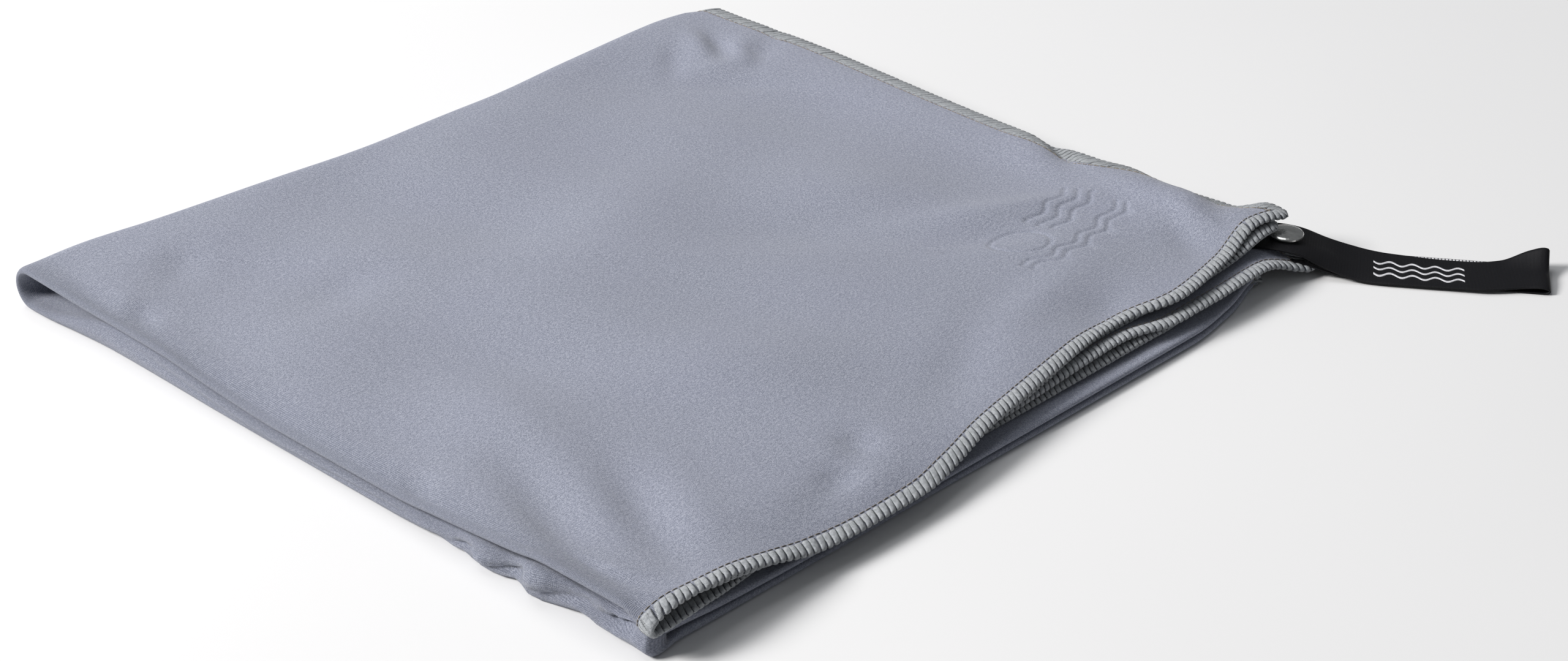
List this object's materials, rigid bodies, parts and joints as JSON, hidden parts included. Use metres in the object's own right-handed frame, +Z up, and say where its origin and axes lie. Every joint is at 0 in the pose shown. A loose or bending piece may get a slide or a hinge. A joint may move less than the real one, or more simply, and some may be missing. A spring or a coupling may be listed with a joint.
{
  "type": "quick dry towel",
  "caption": "Thin knitted travel towel folded into a square packet, with overlocked edges and a black ribbon hanging loop closed by a press stud.",
  "frame": {"origin": "middle of the folded packet's underside, on the surface it lies on", "axes": "+Z up, through the eight layers; +Y towards the last fold, which is the hinge of the packet; +X towards the overlocked long edges; the hanging loop leaves the +X -Y corner"},
  "size_m": [0.3685, 0.3552, 0.0177],
  "materials": {
    "towel_cloth": "blue-grey fine knit with a soft suede face and fine ribs",
    "overlock_thread": "light grey overlock stitching",
    "strap_ribbon": "black woven satin",
    "strap_thread": "black sewing thread",
    "snap_metal": "polished nickel plate"
  },
  "bodies": {
    "lower_half": {"cloth_layer_5": "towel_cloth", "cloth_layer_6": "towel_cloth", "cloth_layer_7": "towel_cloth", "cloth_layer_8": "towel_cloth", "overlock_layer_5": "overlock_thread", "overlock_layer_6": "overlock_thread", "overlock_layer_7": "overlock_thread", "overlock_layer_8": "overlock_thread", "side_fold_lower_outer": "towel_cloth", "side_fold_lower_inner": "towel_cloth", "end_fold_upper": "towel_cloth", "end_fold_lower": "towel_cloth"},
    "upper_half": {"cloth_layer_1": "towel_cloth", "cloth_layer_2": "towel_cloth", "cloth_layer_3": "towel_cloth", "cloth_layer_4": "towel_cloth", "overlock_layer_1": "overlock_thread", "overlock_layer_2": "overlock_thread", "overlock_layer_3": "overlock_thread", "overlock_layer_4": "overlock_thread", "side_fold_upper_outer": "towel_cloth", "side_fold_upper_inner": "towel_cloth", "overlock_wrap_outer": "overlock_thread", "overlock_wrap_inner": "overlock_thread", "strap_fixed_leg": "strap_ribbon", "strap_bar_tack": "strap_thread", "snap_post": "snap_metal", "snap_stud": "snap_metal"},
    "strap_flap": {"strap_free_leg": "strap_ribbon", "snap_socket": "snap_metal", "snap_spring": "snap_metal", "snap_cap": "snap_metal"}
  },
  "joints": [
    {"name": "unfold", "type": "hinge", "parent": "lower_half", "child": "upper_half", "pos_m": [0, 0.1452, 0.00885], "axis": [-1, 0, 0], "range_deg": [0, 179.9]},
    {"name": "strap_open", "type": "hinge", "parent": "upper_half", "child": "strap_flap", "pos_m": [0.2103, -0.2046, 0.00095], "axis": [0.8281, 0.5606, 0], "range_deg": [0, 170]}
  ]
}
